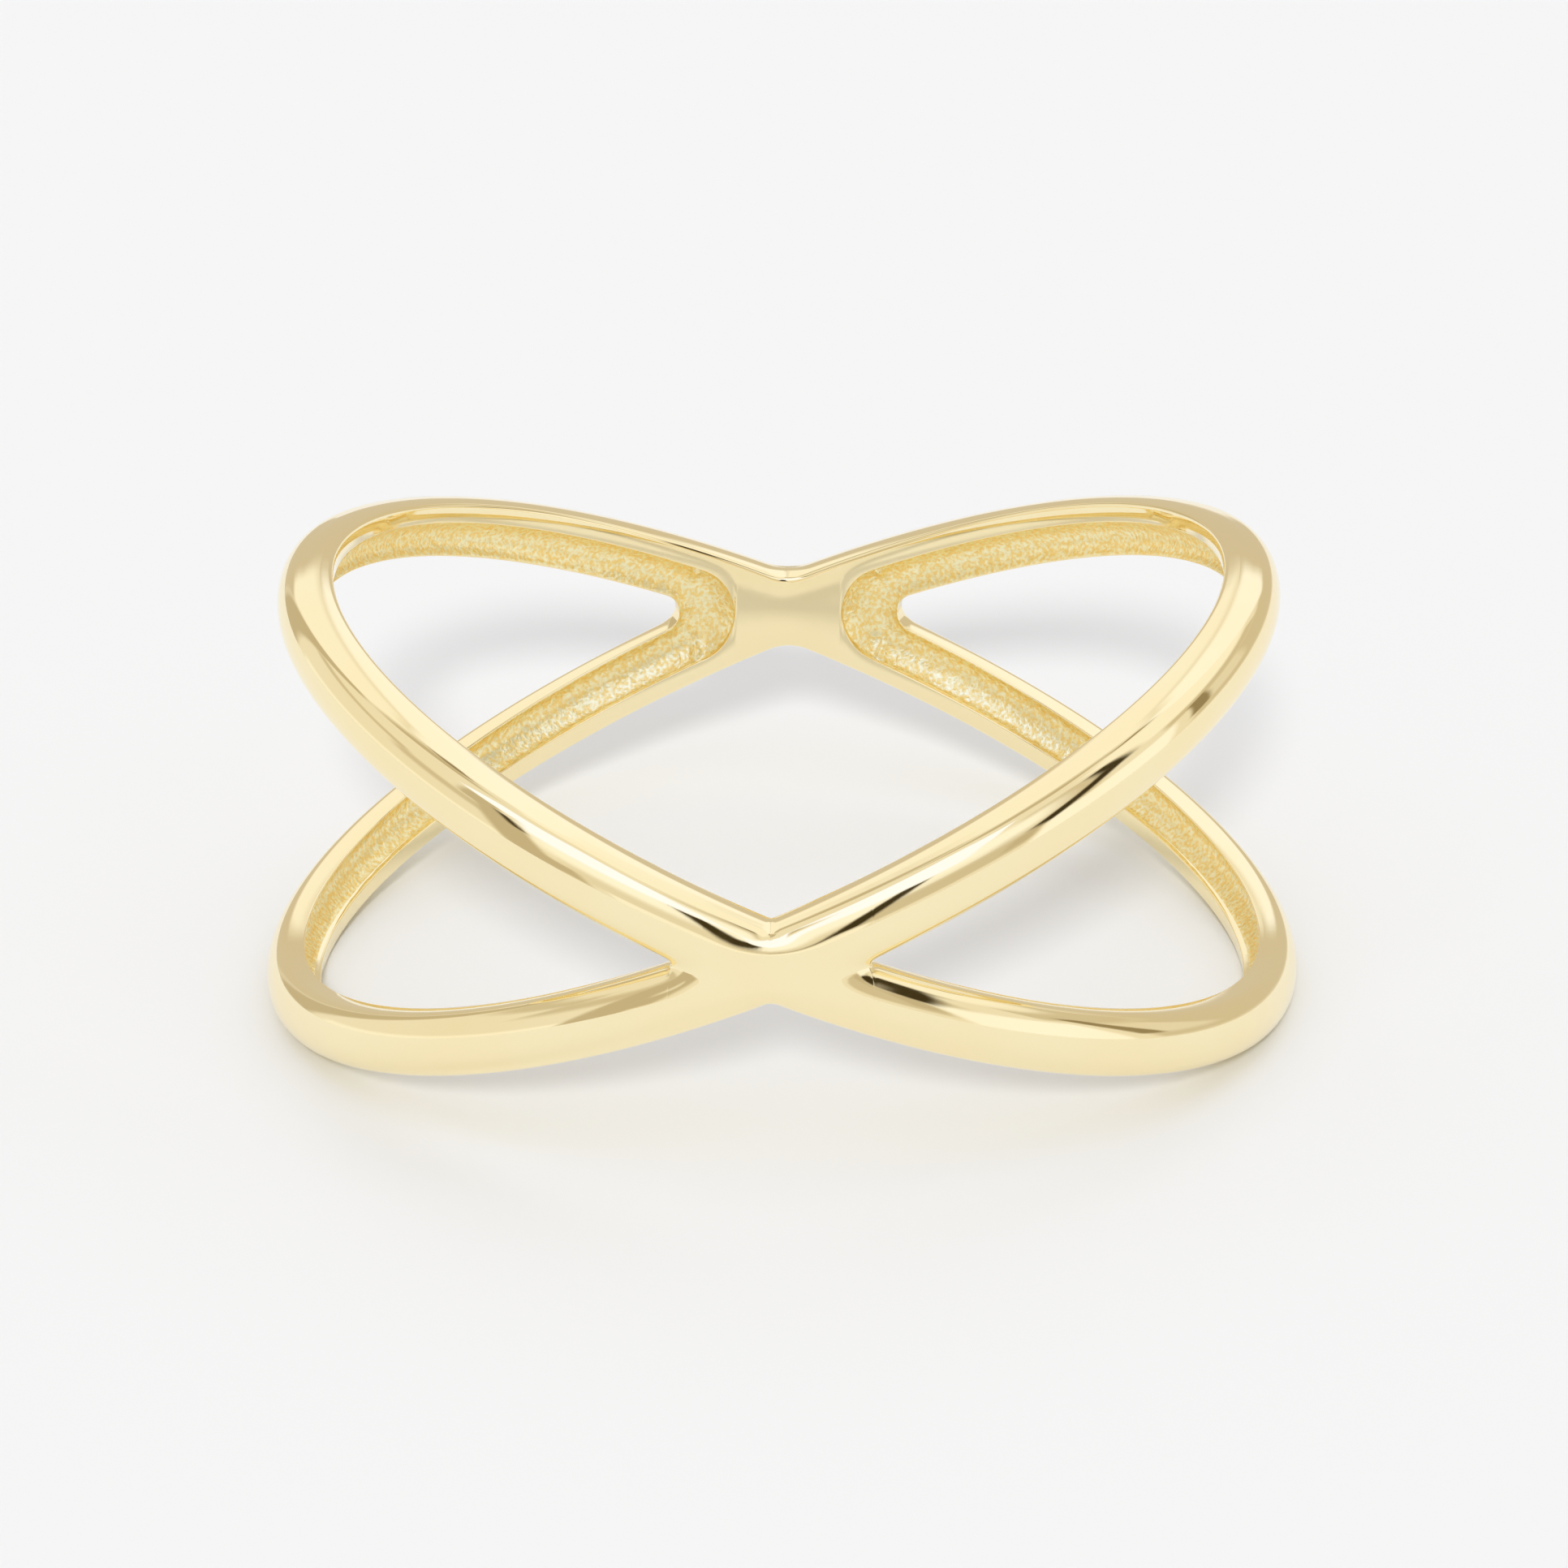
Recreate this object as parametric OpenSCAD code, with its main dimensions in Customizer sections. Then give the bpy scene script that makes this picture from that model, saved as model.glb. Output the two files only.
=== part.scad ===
// Crossover ring: two flat hoops of domed wire, tilted opposite ways, cross at the front and
// the back and leave a lens-shaped window on each side. It is cast in one piece, with a scoop
// along the inside of each arm. The finger hole stands upright and the ring lies on its side,
// with the front crossing towards -Y and the middle of its lowest edges at the origin.

/* [Finger hole] */
// Diameter of the finger hole at mid height
hole_d = 17.3; // [14:0.1:22]
// How much the radius shrinks for each millimetre of height, as the lower loop stands wider
wall_lean = 0.06; // [0:0.01:0.1]

/* [Hoops] */
// How far the middle of each hoop rises above and drops below mid height
hoop_rise = 3.8; // [2.6:0.05:5]
// Width of each hoop where the two cross
width_cross = 1.24; // [1:0.01:1.5]
// Width of each hoop at the sides, half way between the crossings
width_side = 1.1; // [0.9:0.01:1.4]
// Depth of the straight walls along both edges of a hoop
edge_t = 0.65; // [0.5:0.01:0.9]
// Height of the rounded outside above the straight walls
dome_h = 0.39; // [0.1:0.01:0.6]

/* [Corners] */
// Rounding of the notches above and below the front crossing
front_notch_r = 0.1; // [0.05:0.01:1.2]
// Rounding of the notches above and below the back crossing
back_notch_r = 1.1; // [0.05:0.01:1.2]
// Rounding of the windows' corners beside the front crossing
front_corner_r = 0.09; // [0.05:0.01:0.3]
// Rounding of the windows' corners beside the back crossing
back_corner_r = 0.4; // [0.05:0.01:0.45]
// How softly the domes of the two hoops run into each other under a notch, 0 being a crease
notch_ease = 0.8; // [0:0.05:1.5]
// How softly they do so beside a window's corner at the front
corner_ease = 0.4; // [0:0.05:1.5]

/* [Scooped inside] */
// Width of the smooth rim between a scoop and the ring's upper or lower edge
rim_w = 0.4; // [0.3:0.01:0.5]
// Rounding that the border of a scoop follows where it turns round a window's corner
scoop_corner_r = 0.22; // [0.1:0.01:0.3]
// Depth of the scoop at the window's edge
scoop_at_window = 0.3; // [0.1:0.01:0.4]
// Depth of the scoop beside the smooth rim
scoop_at_rim = 0.12; // [0.05:0.01:0.3]
// How far the scoop's middle is hollowed past a straight line between those two
scoop_bow = 0.24; // [0:0.01:0.3]

/* [Hidden] */

hole_r = hole_d / 2;
// Radius at which the ring's side is unrolled, so that u along it is in millimetres
wall_r = hole_r + edge_t;
// Height of the ring's highest edge above mid height
top_z = hoop_rise + width_side / 2;

// Steps in the mesh of one quarter turn, from a crossing to the side
pad_steps = 4;
turn_steps = 6;
corner_steps = 3;
arm_steps = 18;
// Steps across the outside and across a scoop
outer_steps = 8;
scoop_steps = 5;

// Angles are measured from the nearest crossing, 0 to 90, and u is the unrolled length
function along(angle) = wall_r * angle * PI / 180;
function angle_at(u) = u / wall_r * 180 / PI;

// A hoop's slope on the unrolled side, its width, and half that width measured upright
function slope(angle) = atan(hoop_rise * cos(angle) / wall_r);
function width(angle) = width_side + (width_cross - width_side) * pow(cos(angle), 2);
function half_upright(angle) = width(angle) / 2 / cos(slope(angle));

// Where the inner edges of the two hoops would meet in a sharp corner
function corner_angle(guess = 10, tries = 5) =
    tries == 0 ? guess : corner_angle(asin(half_upright(guess) / hoop_rise), tries - 1);
corner_u = along(corner_angle());
corner_slope = slope(corner_angle());
// Slope of the edges at a notch above a crossing, and the centre of the notch's rounding
notch_slope = slope(0);
function notch_z(notch) = half_upright(0) + notch / cos(notch_slope);

// Centre and tip of the rounding in a window's corner
function round_u(r) = corner_u + r / sin(corner_slope);
function tip_u(r) = round_u(r) - r;

// Upper edge of a hoop, with the notch rounded
function top_edge(u, notch) =
    u < notch * sin(notch_slope)
        ? notch_z(notch) - sqrt(notch * notch - u * u)
        : hoop_rise * sin(angle_at(u)) + half_upright(angle_at(u));

// A line at the distance off from the window's edge, measured into the metal
function window_line(u, r, off) =
    let (reach = r + off, side = reach * sin(corner_slope))
    u <= round_u(r) - reach ? 0
    : u < round_u(r) - side ? sqrt(max(0, reach * reach - pow(round_u(r) - u, 2)))
    : hoop_rise * sin(angle_at(u)) - half_upright(angle_at(u)) + off / cos(slope(angle_at(u)));

// Distance from a point of the unrolled side to the window
function to_window(u, z, r) =
    (u - round_u(r)) * cos(corner_slope) + z * sin(corner_slope) < 0
        ? norm([u - round_u(r), z]) - r
        : (z - window_line(u, r, 0)) * cos(slope(angle_at(u)));

// Width of the scoop at a place along the arm, and the distance from a point to its border
function scoop_w(u) = width(angle_at(u)) - rim_w;
function to_border(u, z) = max(0, scoop_w(u) - to_window(u, z, scoop_corner_r));

// Where the scoops start beside a crossing
scoop_start_u = tip_u(scoop_corner_r) - scoop_w(0);

// Depth of a scoop at a share of the way from the window to its border
function scoop_depth(share) =
    scoop_at_window + (scoop_at_rim - scoop_at_window) * share + scoop_bow * 4 * share * (1 - share);

// Heights on the unrolled side as shares of half a hoop's width, where the hoop's middle is
function level(u, z) = z / half_upright(angle_at(u));
function middle(u) = level(u, hoop_rise * sin(angle_at(u)));

// How far the domes of the two hoops run over into each other, under a notch and beside a
// window's corner. It follows the rounding of the edge, and is 0 where the edge is straight.
function notch_spread(u, z, notch) =
    let (bottom = notch_z(notch) - notch, arc_u = sqrt(max(0, notch * notch - pow(notch_z(notch) - z, 2))))
    z <= bottom ? level(u, bottom) - 1 + notch_ease * level(u, bottom - z)
    : z > notch_z(notch) - notch * cos(notch_slope) ? 0
    : sqrt(max(0, pow(level(u, z) - 1, 2) - pow(level(u, arc_u * tan(notch_slope)), 2)));
function corner_spread(u, r) =
    u <= tip_u(r) ? middle(tip_u(r)) - 1 + corner_ease * (middle(tip_u(r)) - middle(u))
    : sqrt(max(0, pow(middle(u) - 1, 2) - pow(level(u, window_line(u, r, 0)), 2)));

// How far up the dome a point lies, from 0 at an edge to 1 on top
function dome_share(u, z, r, notch) =
    level(u, z) > middle(u)
        ? 1 - level(u, z) + norm([middle(u), notch_spread(u, z, notch)])
        : 1 - middle(u) + norm([level(u, z), corner_spread(u, r)]);

// Radius of the outside: straight edge walls under a dome with an elliptical section
function outer_r(u, z, r, notch) =
    let (share = max(0, min(1, dome_share(u, z, r, notch))))
    wall_r + dome_h * sqrt(1 - pow(1 - share, 2));

// Places of the columns along one quarter turn, as [u, kind]. The kinds are the plain pad inside
// the crossing, the start of the scoop, its turn round the corner, the corner's tip, and the arm.
PAD = 0;
START = 1;
TURN = 2;
TIP = 3;
ARM = 4;
function quarter(r) =
    let (start = scoop_start_u, tip = tip_u(r), arm = round_u(r) - r * sin(corner_slope))
    concat(
        [for (k = [0 : pad_steps - 1]) [start * k / pad_steps, PAD]],
        [[start, START]],
        [for (k = [1 : turn_steps - 1]) [tip + (start - tip) * cos(90 * k / turn_steps), TURN]],
        [[tip, TIP]],
        [for (k = [1 : corner_steps])
            [round_u(r) - r * cos((90 - corner_slope) * k / corner_steps), ARM]],
        [for (k = [1 : arm_steps]) [arm + (along(90) - arm) * k / arm_steps, ARM]]
    );

// All columns round the ring, as [turn from the front crossing, u, kind, roundings of the
// window's corner and of the notch]
function reversed(list, first, last) = [for (k = [first : -1 : last]) list[k]];
front_half = quarter(front_corner_r);
back_half = quarter(back_corner_r);
last_k = len(front_half) - 1;
columns = concat(
    [for (c = front_half) [angle_at(c[0]), c[0], c[1], front_corner_r, front_notch_r]],
    [for (c = reversed(back_half, last_k - 1, 0))
        [180 - angle_at(c[0]), c[0], c[1], back_corner_r, back_notch_r]],
    [for (k = [1 : last_k]) let (c = back_half[k])
        [180 + angle_at(c[0]), c[0], c[1], back_corner_r, back_notch_r]],
    [for (c = reversed(front_half, last_k - 1, 1))
        [360 - angle_at(c[0]), c[0], c[1], front_corner_r, front_notch_r]]
);
column_count = len(columns);

// Rows round the section of an arm, from the window up the outside and down the inside
rim_row = outer_steps + 2;
row_count = rim_row + scoop_steps + 2;
last_row = row_count - 1;

// One point of an upper arm's section, as [radius, height]
function section_point(c, row) =
    let (u = c[1], r = c[3], low = window_line(u, r, 0), high = top_edge(u, c[4]))
    let (border = window_line(u, scoop_corner_r, scoop_w(u)))
    let (outer_z = low + (high - low) * (1 - cos(180 * row / outer_steps)) / 2)
    let (step = 1 - (row - rim_row - 1) / scoop_steps, z = low + (border - low) * step)
    let (near = max(0, to_window(u, z, r)))
    row <= outer_steps ? [outer_r(u, outer_z, r, c[4]), outer_z]
    : row == rim_row - 1 ? [hole_r, high]
    : row == rim_row ? [hole_r, border]
    : c[2] <= START ? [hole_r, 0]
    : [hole_r + scoop_depth(near / (near + to_border(u, z))), z];

// The same point in space, on the upper arms for side 1 and on the lower arms for side -1
function placed(c, p, side) =
    let (z = side * p[1], r = p[0] - wall_lean * z)
    [r * sin(c[0]), -r * cos(c[0]), z + top_z];
points = [for (side = [1, -1]) for (c = columns) for (row = [0 : last_row])
    placed(c, section_point(c, row), side)];

// Number of a point, where the upper and lower arms share the points at mid height in a crossing
// and the scoop's rows close into one point on the pad
function point_id(half, column, row) =
    let (i = column % column_count, kind = columns[i][2])
    let (j = kind <= START && row >= rim_row ? last_row : row % row_count)
    let (shared = kind <= TIP && (j == 0 || j == last_row))
    ((shared ? 0 : half) * column_count + i) * row_count + j;
function is_wall(column) = columns[column % column_count][2] >= TIP;
function triangles(q) = [for (t = [[q[0], q[1], q[2]], [q[0], q[2], q[3]]])
    if (t[0] != t[1] && t[1] != t[2] && t[2] != t[0]) t];
function patch(half, i, j) = half == 0
    ? [point_id(0, i, j), point_id(0, i, j + 1), point_id(0, i + 1, j + 1), point_id(0, i + 1, j)]
    : [point_id(1, i, j), point_id(1, i + 1, j), point_id(1, i + 1, j + 1), point_id(1, i, j + 1)];
faces = [for (half = [0, 1]) for (i = [0 : column_count - 1]) for (j = [0 : last_row])
    if (j < last_row || (is_wall(i) && is_wall(i + 1))) each triangles(patch(half, i, j))];

module crossover_band() {
    color([0.93, 0.79, 0.45])
        polyhedron(points, faces, convexity = 8);
}

crossover_band();
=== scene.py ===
"""The looks of a polished gold crossover ring that lies on its side in a white studio."""

import math

import bpy
import numpy as np
from mathutils import Matrix, Vector, noise


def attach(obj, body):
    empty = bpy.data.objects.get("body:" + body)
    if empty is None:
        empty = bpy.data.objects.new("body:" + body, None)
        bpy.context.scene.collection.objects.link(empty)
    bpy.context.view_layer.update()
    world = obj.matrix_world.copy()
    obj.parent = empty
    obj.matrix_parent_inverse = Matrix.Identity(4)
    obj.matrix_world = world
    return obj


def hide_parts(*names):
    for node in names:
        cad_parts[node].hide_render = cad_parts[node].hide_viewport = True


MM = 0.001

# The ring's driving sizes in mm, as in the part's source
HOLE_D = 17.3
WALL_LEAN = 0.06
HOOP_RISE = 3.8
WIDTH_CROSS = 1.24
WIDTH_SIDE = 1.1
EDGE_T = 0.65
DOME_H = 0.39
FRONT_NOTCH_R = 0.1
BACK_NOTCH_R = 1.1
FRONT_CORNER_R = 0.09
BACK_CORNER_R = 0.4
NOTCH_EASE = 0.8
CORNER_EASE = 0.4
RIM_W = 0.4
SCOOP_CORNER_R = 0.22
SCOOP_AT_WINDOW = 0.3
SCOOP_AT_RIM = 0.12
SCOOP_BOW = 0.24

# Fine detail that the solid leaves out, in mm: the rounded edge of the hole, the slight crown of
# the edge walls, the rounded border of a scoop and its lip at the window, and its rough skin
HOLE_ROUND = 0.1
CROWN = 0.035
BORDER_ROUND = 0.025
LIP_ROUND = 0.03
LIP_GROWS_IN = 0.15
SKIN_DEPTH = 0.012
SKIN_SIZE = 0.2
SKIN_FADE = 0.05

# The domes spread into each other as the rounding of an edge tells them, and more softly away from
# it: how far from the edge that change takes, and how much wider the spread is beside a window's
# corner, both as shares of half a hoop's width
EASE_BLEND = 0.05
CORNER_SOFT = 0.04

# Fineness of the mesh: steps across the outside, each rounding and the scoop, and mm along an arm
OUTER_STEPS = 18
CROWN_STEPS = 6
ROUND_STEPS = 4
SCOOP_STEPS = 15
CORNER_STEPS = 10
ALONG_STEP = 0.08
# Points closer than this, in mm, are one point of the mesh
SAME_PLACE = 1e-5

HOLE_R = HOLE_D / 2
WALL_R = HOLE_R + EDGE_T
TOP_Z = HOOP_RISE + WIDTH_SIDE / 2
QUARTER = WALL_R * math.pi / 2

# The camera, from the photograph: its angles, its distance and the ring's place and size in its
# frame, then its sensor and how near and far it sees
CAM_AZIMUTH = 1.2
CAM_ELEVATION = 22.0
CAM_ROLL = -0.48
CAM_DISTANCE = 135.6
FRAME_PX = 1932
RING_PX = (961.5, 951.5)
PX_PER_MM = 64.5
SENSOR_MM = 36.0
NEAREST_M = 0.01
FARTHEST_M = 10.0

# Brightness of the tent's cloth and of what shows in it, from lamps to gaps. Dim parts are warmer
# and lamps cooler than white.
TENT_STRENGTH = 1.03
LAMP = 1.5
GLOW = 1.07
WHITE = 0.96
CLOTH = 0.84
GREY = 0.77
SHADE = 0.63
DIM = 0.55
DARK = 0.3
GAP = 0.05
TINT_DIM = (1.0, 0.73, 0.28)
TINT_LAMP = (0.0, 0.2, 1.0)

# The studio's tent as the gold mirrors it. Directions are in degrees: azimuth 0 is in front of the
# ring and 90 to its right, elevation 90 is overhead. Each panel has its middle, width, height,
# turn, softness of its edges, and brightness. A later panel lies over the ones before it.
PANELS = (
    # name, azimuth, elevation, width, height, turn, soft, brightness
    ("left foot", -88, 1, 72, 6, 0, 4, WHITE),
    ("left seam", -104, 36, 50, 7, 0, 5, SHADE),
    ("left seam near", -68, 29, 30, 12, 0, 8, SHADE),
    ("back left", -139, 28, 18, 60, 0, 5, DIM),
    ("back left lamp", -164, 42, 27, 38, 0, 6, WHITE),
    ("back left low", -166, 9, 34, 26, 0, 6, SHADE),
    ("back left top", -155, 72, 50, 18, 0, 10, DIM),
    ("right low", 140, 14, 84, 26, 0, 5, SHADE),
    ("right low near", 112, 17, 20, 18, 0, 6, GREY),
    ("right seam", 115, 31, 56, 9, 0, 4, SHADE),
    ("right wall", 120, 58, 78, 40, 0, 6, WHITE),
    ("back right lamp", 166, 43, 25, 40, 0, 6, GLOW),
    ("back right gap", 176, 65, 10, 8, 0, 4, DARK),
    ("right side", 70, 10, 40, 26, 0, 4, GLOW),
    ("right slit", 100, 19, 8, 22, 0, 3, DARK),
    ("front low", -16, 15, 38, 18, 0, 6, GREY),
    ("front right low", 28, 16, 40, 22, 0, 4, SHADE),
    ("front right edge", 44, 16, 8, 14, 0, 4, DIM),
    ("front foot", -8, 2, 40, 9, 0, 3, WHITE),
    ("front right wall", 48, 46, 30, 46, 0, 10, SHADE),
    ("front right lamp", 28, 46, 44, 32, 0, 22, GLOW),
    ("overhead lamp", -21, 71, 88, 22, 0, 5, LAMP),
    ("front lamp glow", -18, 38, 44, 28, 0, 18, GLOW),
    ("front lamp", -9, 57, 60, 28, 0, 7, LAMP),
    ("left corner", -47.5, 22, 15, 50, 0, 4, DIM),
    ("left corner top", -54, 48, 14, 22, 0, 4, DIM),
    ("left corner low", -38, 7, 10, 12, 0, 4, DIM),
    ("left gap", -44, 43, 5, 16, 17, 4, GAP),
    ("right gap", 58, 33, 10, 32, -45, 5, GAP),
    ("right gap top", 70, 52, 12, 26, 0, 8, GAP),
    ("camera", 5.5, 25.5, 9, 33, -6, 4, GAP),
)

# The key light stands just above the camera, so that the shadows lie close behind the arms
KEY_AZIMUTH = -1.5
KEY_ELEVATION = 29.0
KEY_ANGLE = 7.0
KEY_STRENGTH = 1.57

# The ground, slightly cool to even out the warmer light of the tent's dim parts
FLOOR_HALF_M = 2.0
FLOOR_COLOUR = (0.861, 0.873, 0.873, 1)

# Polished gold: two close shades that drift over CLOUD_SIZE, a gloss that varies over GLOSS_SIZE,
# and the waves that the buffing wheel leaves, all in mm
POLISH_COLOURS = ((1.0, 0.88, 0.56), (1.0, 0.865, 0.535))
POLISH_ROUGHNESS = (0.03, 0.075)
CLOUD_SIZE = 2.5
GLOSS_SIZE = 0.5
WAVE_SIZE = 0.7
WAVE_DEPTH = 0.0012

# Cast gold: the colour and roughness of the pits and of the crests, where the pits' deeper colour is
# painted shade and the crests' pale colour a painted highlight, and the size and depth of the grain and
# of its larger lumps in mm
CAST_SHADE_AND_HIGHLIGHT_COLOURS = ((1.0, 0.76, 0.29), (1.0, 0.94, 0.62))
CAST_ROUGHNESS = (0.4, 0.28)
GRAIN_SIZE = 0.08
LUMP_SIZE = 0.24
LUMP_SHARE = 1.2
GRAIN_DEPTH = 0.018


def slope(u):
    """Slope of a hoop on the unrolled side, in radians."""
    return np.arctan(HOOP_RISE * np.cos(u / WALL_R) / WALL_R)


def width(u):
    """Width of a hoop, from the crossing to the side."""
    return WIDTH_SIDE + (WIDTH_CROSS - WIDTH_SIDE) * np.cos(u / WALL_R) ** 2


def half_upright(u):
    """Half a hoop's width, measured upright."""
    return width(u) / 2 / np.cos(slope(u))


def sharp_corner(tries=8):
    """Where the inner edges of the two hoops would meet, closer with each try."""
    u = 0.0
    for _ in range(tries):
        u = WALL_R * math.asin(half_upright(u) / HOOP_RISE)
    return u


CORNER_U = sharp_corner()
CORNER_SLOPE = float(slope(CORNER_U))
NOTCH_SLOPE = float(slope(0.0))


def round_u(r):
    """Centre of the rounding of radius r in a window's corner."""
    return CORNER_U + r / math.sin(CORNER_SLOPE)


def tip_u(r):
    """Tip of that rounding, where the window begins."""
    return round_u(r) - r


def scoop_w(u):
    """Width of the scoop at a place along the arm."""
    return width(u) - RIM_W


SCOOP_START = tip_u(SCOOP_CORNER_R) - scoop_w(0.0)


def notch_z(notch):
    """Height of the centre of a notch's rounding."""
    return half_upright(0.0) + notch / math.cos(NOTCH_SLOPE)


def top_edge(u, notch):
    """Height of a hoop's upper edge, with the notch rounded."""
    arc = notch_z(notch) - np.sqrt(np.maximum(notch ** 2 - u ** 2, 0))
    straight = HOOP_RISE * np.sin(u / WALL_R) + half_upright(u)
    return np.where(u < notch * math.sin(NOTCH_SLOPE), arc, straight)


def window_line(u, r, off):
    """Height of the line at the distance off from the window's edge."""
    reach = r + off
    arc = np.sqrt(np.maximum(reach ** 2 - (round_u(r) - u) ** 2, 0))
    straight = HOOP_RISE * np.sin(u / WALL_R) - half_upright(u) + off / np.cos(slope(u))
    line = np.where(u < round_u(r) - reach * math.sin(CORNER_SLOPE), arc, straight)
    return np.where(u <= round_u(r) - reach, 0, line)


def to_window(u, z, r):
    """Distance from a point of the unrolled side to the window."""
    before = (u - round_u(r)) * math.cos(CORNER_SLOPE) + z * math.sin(CORNER_SLOPE) < 0
    along = (z - window_line(u, r, 0)) * np.cos(slope(u))
    return np.where(before, np.hypot(u - round_u(r), z) - r, along)


def to_border(u, z):
    """Distance from a point of a scoop to its border on the smooth rim."""
    return np.maximum(scoop_w(u) - to_window(u, z, SCOOP_CORNER_R), 0)


def middle(u):
    """Height of a hoop's middle, as a share of half its width."""
    return HOOP_RISE * np.sin(u / WALL_R) / half_upright(u)


def eased(way, ease, first):
    """Rise of a spread, which leaves the rounded edge at the slope first and goes on at ease."""
    return ease * way + (first - ease) * EASE_BLEND * (1 - np.exp(-np.maximum(way, 0) / EASE_BLEND))


def notch_spread(u, z, notch):
    """How far the domes of the two hoops run over into each other under a notch."""
    half, bottom = half_upright(u), notch_z(notch) - notch
    below = bottom / half - 1 + eased((bottom - z) / half, NOTCH_EASE, 1 / math.cos(NOTCH_SLOPE))
    arc_u = np.sqrt(np.maximum(notch ** 2 - (notch_z(notch) - z) ** 2, 0))
    arc_rise = arc_u * math.tan(NOTCH_SLOPE) / half
    beside = np.sqrt(np.maximum((z / half - 1) ** 2 - arc_rise ** 2, 0))
    beside = np.where(z > notch_z(notch) - notch * math.cos(NOTCH_SLOPE), 0, beside)
    return np.where(z <= bottom, below, beside)


def corner_spread(u, z, r):
    """How far they run over into each other beside a window's corner.

    At the edge the spread follows the rounding of the corner, and away from it a softer one.
    """
    tip, half = tip_u(r), half_upright(u)
    start, way = middle(tip) - 1, middle(tip) - middle(u)
    line = window_line(u, r, 0) / half
    beside = np.sqrt(np.maximum((middle(u) - 1) ** 2 - line ** 2, 0))
    at_edge = np.where(way >= 0, start + way / math.sin(CORNER_SLOPE), beside)
    soft = start + CORNER_SOFT
    fading = soft * np.exp(CORNER_EASE * np.minimum(way, 0) / soft)
    away = np.where(way >= 0, soft + CORNER_EASE * way, fading)
    near = np.exp(-np.maximum(to_window(u, z, r), 0) / half / EASE_BLEND)
    return away + (at_edge - away) * near


def outer_r(u, z, r, notch):
    """Radius of the domed outside."""
    level = z / half_upright(u)
    above = 1 - level + np.hypot(middle(u), notch_spread(u, z, notch))
    below = 1 - middle(u) + np.hypot(level, corner_spread(u, z, r))
    share = np.clip(np.where(level > middle(u), above, below), 0, 1)
    return WALL_R + DOME_H * np.sqrt(1 - (1 - share) ** 2)


def scoop_depth(share):
    """Depth of a scoop at a share of the way from the window to its border."""
    straight = SCOOP_AT_WINDOW + (SCOOP_AT_RIM - SCOOP_AT_WINDOW) * share
    return straight + SCOOP_BOW * 4 * share * (1 - share)


def skin(turn, z):
    """Push of the rough cast skin at a place in a scoop, about -1 to 1."""
    fading, finer, octaves = 0.8, 2.1, 2
    out = np.zeros(turn.shape)
    for i, (a, h) in enumerate(zip(turn, z)):
        place = Vector((HOLE_R * math.sin(a), -HOLE_R * math.cos(a), h))
        out[i] = noise.fractal(place / SKIN_SIZE, fading, finer, octaves)
    return out


def quarter_columns(r):
    """Places of the columns of one quarter turn, from the crossing to the side.

    They cover the pad, the scoop's turn round the corner, the corner's rounding and the arm, and
    stand closer at both ends of the turn.
    """
    tip = tip_u(r)
    arm = round_u(r) - r * math.sin(CORNER_SLOPE)
    pads = math.ceil(SCOOP_START / ALONG_STEP)
    turns = math.ceil(2 * (tip - SCOOP_START) / ALONG_STEP)
    arms = math.ceil((QUARTER - arm) / ALONG_STEP)
    opening = math.pi / 2 - CORNER_SLOPE
    turn_shares = (1 - np.cos(math.pi * np.arange(turns) / turns)) / 2
    return np.concatenate([
        np.arange(pads) * SCOOP_START / pads,
        SCOOP_START + (tip - SCOOP_START) * turn_shares,
        round_u(r) - r * np.cos(opening * np.arange(CORNER_STEPS) / CORNER_STEPS),
        arm + (QUARTER - arm) * np.arange(arms + 1) / arms,
    ])


def ring_columns():
    """All columns round the ring: turn from the front in radians, u, and whether at the back."""
    front, back = quarter_columns(FRONT_CORNER_R), quarter_columns(BACK_CORNER_R)
    turn = np.concatenate([
        front / WALL_R,
        math.pi - back[-2::-1] / WALL_R,
        math.pi + back[1:] / WALL_R,
        2 * math.pi - front[-2:0:-1] / WALL_R,
    ])
    u = np.concatenate([front, back[-2::-1], back[1:], front[-2:0:-1]])
    at_back = np.arange(len(u)) >= len(front)
    at_back[len(front) + 2 * len(back) - 2:] = False
    return turn, u, at_back


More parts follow.
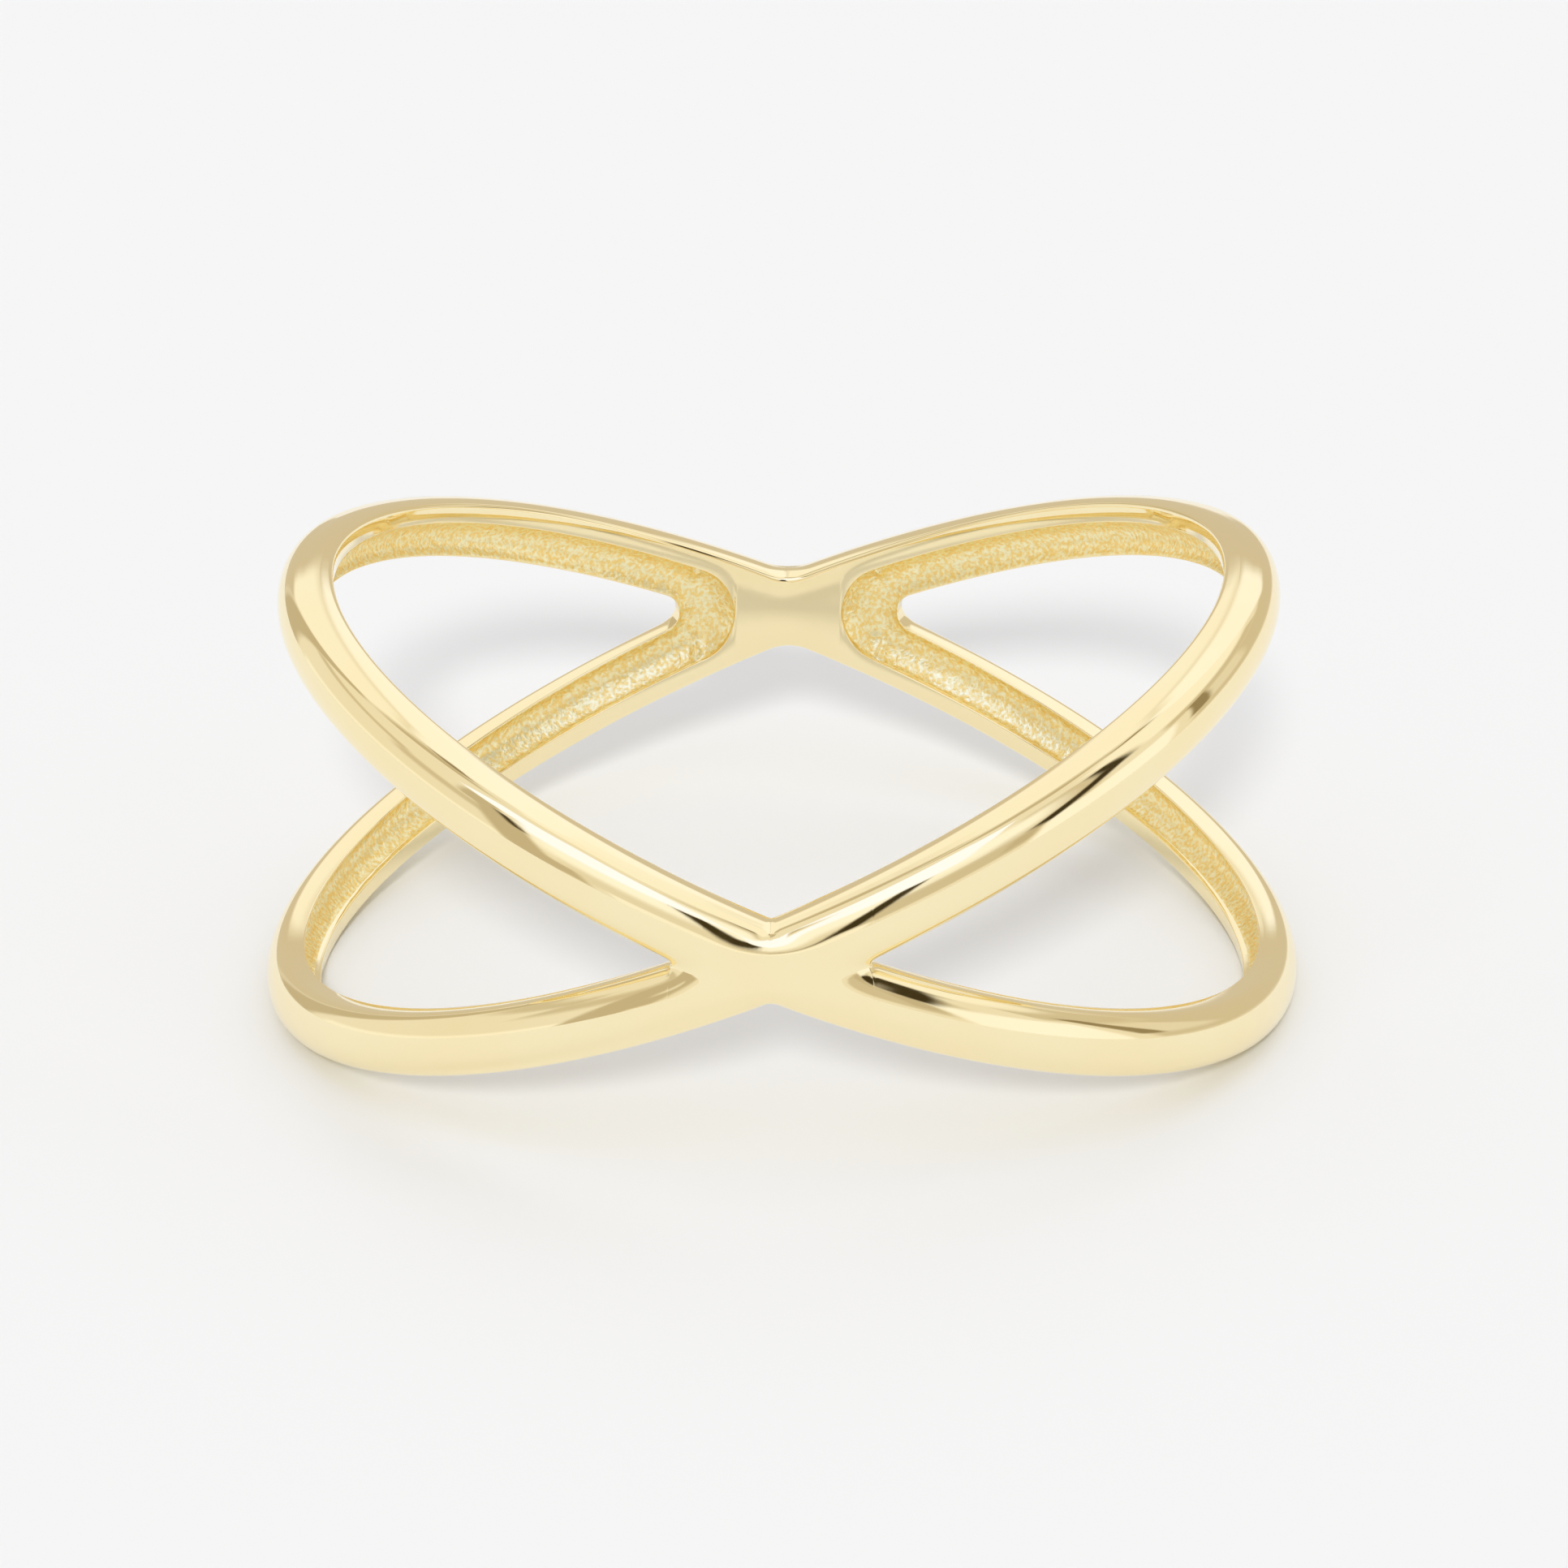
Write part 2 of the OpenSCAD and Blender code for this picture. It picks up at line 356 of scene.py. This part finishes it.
def ring_section(turn, u, at_back, side):
    """Rows of points round every column's section, and the places of the scoop's rows.

    A section goes from the window's edge up the outside, over the edge wall, and down the inside.
    Side is 1 on the upper arms and -1 on the lower ones.
    """
    r = np.where(at_back, BACK_CORNER_R, FRONT_CORNER_R)
    notch = np.where(at_back, BACK_NOTCH_R, FRONT_NOTCH_R)
    low, high, tilt = window_line(u, r, 0), top_edge(u, notch), np.cos(slope(u))
    border = window_line(u, SCOOP_CORNER_R, scoop_w(u))
    on_pad = u <= SCOOP_START + SAME_PLACE
    lip = LIP_ROUND * np.clip((u - tip_u(r)) / LIP_GROWS_IN, 0, 1)
    steps = np.arange(ROUND_STEPS + 1) / ROUND_STEPS * math.pi / 2
    radii, heights = [], []

    def row(radius, height):
        radii.append(np.broadcast_to(radius, u.shape))
        heights.append(np.broadcast_to(height, u.shape))

    for k in range(OUTER_STEPS + 1):
        z = low + (high - low) * (1 - math.cos(math.pi * k / OUTER_STEPS)) / 2
        row(outer_r(u, z, r, notch), z)
    for k in range(1, CROWN_STEPS):
        across = k / CROWN_STEPS
        crown = CROWN * 4 * across * (1 - across)
        row(WALL_R - across * (EDGE_T - HOLE_ROUND), high + crown / tilt)
    for a in steps:
        row(HOLE_R + HOLE_ROUND * (1 - math.sin(a)), high - HOLE_ROUND * (1 - math.cos(a)) / tilt)
    for a in steps:
        z = border + BORDER_ROUND / tilt * (1 - math.sin(a))
        row(np.where(on_pad, HOLE_R, HOLE_R + BORDER_ROUND * (1 - math.cos(a))), np.where(on_pad, 0, z))
    first_scoop = len(radii)
    for k in range(SCOOP_STEPS + 1):
        base = low + lip / tilt
        z = base + (border - base) * (1 - k / SCOOP_STEPS)
        near = np.maximum(to_window(u, z, r), 0)
        rest = to_border(u, z)
        depth = scoop_depth(near / np.maximum(near + rest, SAME_PLACE))
        fade = np.clip(rest / SKIN_FADE, 0, 1) * np.clip((near - lip) / SKIN_FADE, 0, 1)
        rough = np.where(on_pad, 0, skin(turn, side * z) * SKIN_DEPTH * fade)
        inner = np.where(on_pad, HOLE_R, HOLE_R + depth + rough)
        row(inner, np.where(on_pad, 0, z))
    last_scoop = len(radii) - 1
    for a in steps[1:]:
        z = low + lip / tilt * (1 - math.sin(a))
        row(inner + lip * (1 - math.cos(a)), np.where(on_pad, 0, z))
    radius, height = np.array(radii).T, side * np.array(heights).T
    radius = radius - WALL_LEAN * height
    angle = turn[:, None]
    points = np.stack([radius * np.sin(angle), -radius * np.cos(angle), height + TOP_Z], -1)
    return points, first_scoop, last_scoop


def ring_mesh():
    """The whole ring as one closed mesh, with its scoops' faces in the second material."""
    turn, u, at_back = ring_columns()
    upper, first_scoop, last_scoop = ring_section(turn, u, at_back, 1)
    lower = ring_section(turn, u, at_back, -1)[0]
    count, rows = upper.shape[:2]
    points = np.stack([upper, lower]).reshape(-1, 3)
    # Points that meet at mid height or on the pad become one
    keys = np.round(points / SAME_PLACE).astype(np.int64)
    first, ids = np.unique(keys, axis=0, return_index=True, return_inverse=True)[1:]
    ids = ids.reshape(2, count, rows)
    corner = np.where(at_back, BACK_CORNER_R, FRONT_CORNER_R)
    has_window = u >= tip_u(corner) - SAME_PLACE

    faces, slots = [], []
    for half in (0, 1):
        for i in range(count):
            n = (i + 1) % count
            for j in range(rows if has_window[i] and has_window[n] else rows - 1):
                k = (j + 1) % rows
                quad = (ids[half, i, j], ids[half, n, j], ids[half, n, k], ids[half, i, k])
                face = [int(v) for m, v in enumerate(quad) if v != quad[m - 1]]
                if len(set(face)) < 3:
                    continue
                faces.append(face if half == 0 else face[::-1])
                slots.append(int(first_scoop <= j < last_scoop))
    mesh = bpy.data.meshes.new("ring")
    mesh.from_pydata((points[first] * MM).tolist(), [], faces)
    mesh.polygons.foreach_set("use_smooth", [True] * len(faces))
    mesh.polygons.foreach_set("material_index", slots)
    mesh.update()
    return mesh


def socket(value):
    """Whether a value is a node's output and not a plain number."""
    return isinstance(value, bpy.types.NodeSocket)


def feed(tree, target, value):
    """Sets a socket to a number or links it to a node's output."""
    if socket(value):
        tree.links.new(value, target)
    else:
        target.default_value = value


def math_node(tree, operation, *values):
    """Output of a Math node."""
    node = tree.nodes.new("ShaderNodeMath")
    node.operation = operation
    for target, value in zip(node.inputs, values):
        feed(tree, target, value)
    return node.outputs[0]


def ramp(tree, value, low, high, out_low=0.0, out_high=1.0):
    """Smooth step of a value from out_low to out_high."""
    node = tree.nodes.new("ShaderNodeMapRange")
    node.interpolation_type = "SMOOTHSTEP"
    names = ("Value", "From Min", "From Max", "To Min", "To Max")
    for name, number in zip(names, (value, low, high, out_low, out_high)):
        feed(tree, node.inputs[name], number)
    return node.outputs["Result"]


def mix_colour(tree, factor, first, second):
    """Output of a colour Mix node."""
    node = tree.nodes.new("ShaderNodeMix")
    node.data_type = "RGBA"
    feed(tree, node.inputs["Factor"], factor)
    for target, colour in zip([s for s in node.inputs if s.type == "RGBA"], (first, second)):
        feed(tree, target, colour if socket(colour) else (*colour, 1.0))
    return next(s for s in node.outputs if s.type == "RGBA")


def noise_node(tree, place, size, detail=2.0):
    """Noise of lumps of the size in mm, from 0 to 1."""
    node = tree.nodes.new("ShaderNodeTexNoise")
    tree.links.new(place, node.inputs["Vector"])
    node.inputs["Scale"].default_value = 1 / (size * MM)
    node.inputs["Detail"].default_value = detail
    return node.outputs[0]


def new_material(name):
    """A material with its node tree, its shader and the object's own coordinates."""
    material = bpy.data.materials.new(name)
    material.use_nodes = True
    tree = material.node_tree
    place = tree.nodes.new("ShaderNodeTexCoord").outputs["Object"]
    return material, tree, tree.nodes["Principled BSDF"], place


def bump(tree, shader, height, depth_mm):
    """Bump of a height from 0 to 1, as deep as depth_mm."""
    node = tree.nodes.new("ShaderNodeBump")
    node.inputs["Distance"].default_value = depth_mm * MM
    tree.links.new(height, node.inputs["Height"])
    tree.links.new(node.outputs[0], shader.inputs["Normal"])


def polished_gold():
    """High polish: a mirror with faint waves from the buffing wheel and a slightly uneven gloss."""
    material, tree, shader, place = new_material("polished_gold")
    cloud = noise_node(tree, place, CLOUD_SIZE)
    colour = mix_colour(tree, ramp(tree, cloud, 0.35, 0.65), *POLISH_COLOURS)
    tree.links.new(colour, shader.inputs["Base Color"])
    shader.inputs["Metallic"].default_value = 1.0
    gloss = noise_node(tree, place, GLOSS_SIZE, 3.0)
    tree.links.new(ramp(tree, gloss, 0.3, 0.7, *POLISH_ROUGHNESS), shader.inputs["Roughness"])
    bump(tree, shader, noise_node(tree, place, WAVE_SIZE), WAVE_DEPTH)
    return material


def cast_gold():
    """The scoops' skin as it came from the mould: grainy and deeper in colour, with painted shade in
    its pits and painted highlights on its crests.
    """
    material, tree, shader, place = new_material("cast_gold")
    grain = noise_node(tree, place, GRAIN_SIZE)
    lumps = noise_node(tree, place, LUMP_SIZE)
    height = math_node(tree, "ADD", grain, math_node(tree, "MULTIPLY", lumps, LUMP_SHARE))
    # The grain darkens the colour where it is low, as painted shade in the pits, and pales it where it
    # is high, as painted highlights on the crests
    colour = mix_colour(tree, ramp(tree, grain, 0.35, 0.65), *CAST_SHADE_AND_HIGHLIGHT_COLOURS)
    tree.links.new(colour, shader.inputs["Base Color"])
    shader.inputs["Metallic"].default_value = 1.0
    tree.links.new(ramp(tree, grain, 0.35, 0.7, *CAST_ROUGHNESS), shader.inputs["Roughness"])
    bump(tree, shader, height, GRAIN_DEPTH)
    return material


def floor():
    """The plain pale ground."""
    half = FLOOR_HALF_M
    mesh = bpy.data.meshes.new("floor")
    corners = [(-half, -half, 0), (half, -half, 0), (half, half, 0), (-half, half, 0)]
    mesh.from_pydata(corners, [], [(0, 1, 2, 3)])
    obj = bpy.data.objects.new("floor", mesh)
    bpy.context.scene.collection.objects.link(obj)
    material = bpy.data.materials.new("floor")
    material.use_nodes = True
    shader = material.node_tree.nodes["Principled BSDF"]
    shader.inputs["Base Color"].default_value = FLOOR_COLOUR
    shader.inputs["Roughness"].default_value = 1.0
    shader.inputs["Specular IOR Level"].default_value = 0.0
    mesh.materials.append(material)


def camera():
    """Stands where the photograph was taken from."""
    a, e, roll = (math.radians(x) for x in (CAM_AZIMUTH, CAM_ELEVATION, CAM_ROLL))
    back = Vector((math.sin(a) * math.cos(e), -math.cos(a) * math.cos(e), math.sin(e)))
    level = Vector((math.cos(a), math.sin(a), 0))
    upright = back.cross(level)
    right = level * math.cos(roll) + upright * math.sin(roll)
    up = upright * math.cos(roll) - level * math.sin(roll)
    centre = FRAME_PX / 2
    aim = Vector((0, 0, TOP_Z))
    aim += right * ((centre - RING_PX[0]) / PX_PER_MM) - up * ((centre - RING_PX[1]) / PX_PER_MM)
    data = bpy.data.cameras.new("camera")
    data.sensor_width = SENSOR_MM
    data.lens = SENSOR_MM * PX_PER_MM * CAM_DISTANCE / FRAME_PX
    data.clip_start = NEAREST_M
    data.clip_end = FARTHEST_M
    obj = bpy.data.objects.new("camera", data)
    bpy.context.scene.collection.objects.link(obj)
    obj.location = (aim + back * CAM_DISTANCE) * MM
    obj.rotation_mode = "QUATERNION"
    obj.rotation_quaternion = Matrix((right, up, back)).transposed().to_quaternion()
    bpy.context.scene.camera = obj


def tinted(brightness):
    """Colour of a part of the tent."""
    if brightness > 1:
        return tuple(1 + (brightness - 1) * lamp for lamp in TINT_LAMP)
    return tuple(brightness * (dim + (1 - dim) * brightness) for dim in TINT_DIM)


def panel_mask(tree, place, panel):
    """Mask of one panel of the tent, 1 inside and 0 outside."""
    azimuth, elevation, wide, tall, turned, soft = panel[1:-1]
    local = tree.nodes.new("ShaderNodeMapping")
    local.vector_type = "TEXTURE"
    local.inputs["Location"].default_value = (azimuth, elevation, 0)
    local.inputs["Rotation"].default_value = (0, 0, math.radians(turned))
    tree.links.new(place, local.inputs["Vector"])
    edge = tree.nodes.new("ShaderNodeVectorMath")
    edge.operation = "ABSOLUTE"
    tree.links.new(local.outputs[0], edge.inputs[0])
    fade = tree.nodes.new("ShaderNodeMapRange")
    fade.data_type = "FLOAT_VECTOR"
    fade.interpolation_type = "SMOOTHSTEP"
    sockets = {item.identifier: item for item in fade.inputs}
    sockets["From_Min_FLOAT3"].default_value = ((wide + soft) / 2, (tall + soft) / 2, 1)
    sockets["From_Max_FLOAT3"].default_value = ((wide - soft) / 2, (tall - soft) / 2, 0)
    tree.links.new(edge.outputs[0], fade.inputs["Vector"])
    split = tree.nodes.new("ShaderNodeSeparateXYZ")
    tree.links.new(fade.outputs["Vector"], split.inputs[0])
    return math_node(tree, "MULTIPLY", split.outputs[0], split.outputs[1])


def tent():
    """The white tent round the ring, with its lamps and gaps, as the world's light."""
    world = bpy.data.worlds.new("tent")
    bpy.context.scene.world = world
    world.use_nodes = True
    tree = world.node_tree
    split = tree.nodes.new("ShaderNodeSeparateXYZ")
    tree.links.new(tree.nodes.new("ShaderNodeTexCoord").outputs["Generated"], split.inputs[0])
    x, y, z = split.outputs
    degrees = 180 / math.pi
    place = tree.nodes.new("ShaderNodeCombineXYZ")
    azimuth = math_node(tree, "ARCTAN2", x, math_node(tree, "MULTIPLY", y, -1.0))
    elevation = math_node(tree, "ARCSINE", z)
    tree.links.new(math_node(tree, "MULTIPLY", azimuth, degrees), place.inputs[0])
    tree.links.new(math_node(tree, "MULTIPLY", elevation, degrees), place.inputs[1])
    colour = tinted(CLOTH)
    for panel in PANELS:
        mask = panel_mask(tree, place.outputs[0], panel)
        colour = mix_colour(tree, mask, colour, tinted(panel[-1]))
    background = tree.nodes["Background"]
    tree.links.new(colour, background.inputs["Color"])
    background.inputs["Strength"].default_value = TENT_STRENGTH


def key_light():
    """A lamp just above the camera, which the gold doesn't mirror."""
    a, e = math.radians(KEY_AZIMUTH), math.radians(KEY_ELEVATION)
    data = bpy.data.lights.new("key", "SUN")
    data.energy = KEY_STRENGTH
    data.angle = math.radians(KEY_ANGLE)
    obj = bpy.data.objects.new("key", data)
    bpy.context.scene.collection.objects.link(obj)
    toward = Vector((math.sin(a) * math.cos(e), -math.cos(a) * math.cos(e), math.sin(e)))
    obj.rotation_mode = "QUATERNION"
    obj.rotation_quaternion = toward.to_track_quat("Z", "Y")
    obj.visible_glossy = False


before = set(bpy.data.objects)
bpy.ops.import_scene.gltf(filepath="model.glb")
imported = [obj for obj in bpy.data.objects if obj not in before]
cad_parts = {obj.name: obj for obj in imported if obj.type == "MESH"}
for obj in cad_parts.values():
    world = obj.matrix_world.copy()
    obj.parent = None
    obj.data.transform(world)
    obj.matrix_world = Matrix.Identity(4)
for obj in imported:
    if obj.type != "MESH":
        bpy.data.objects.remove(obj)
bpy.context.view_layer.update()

ring = bpy.data.objects.new("ring", ring_mesh())
bpy.context.scene.collection.objects.link(ring)
ring.data.materials.append(polished_gold())
ring.data.materials.append(cast_gold())
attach(ring, "root")
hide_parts("crossover_band")
floor()
camera()
tent()
key_light()
bpy.context.scene.view_settings.view_transform = "Standard"
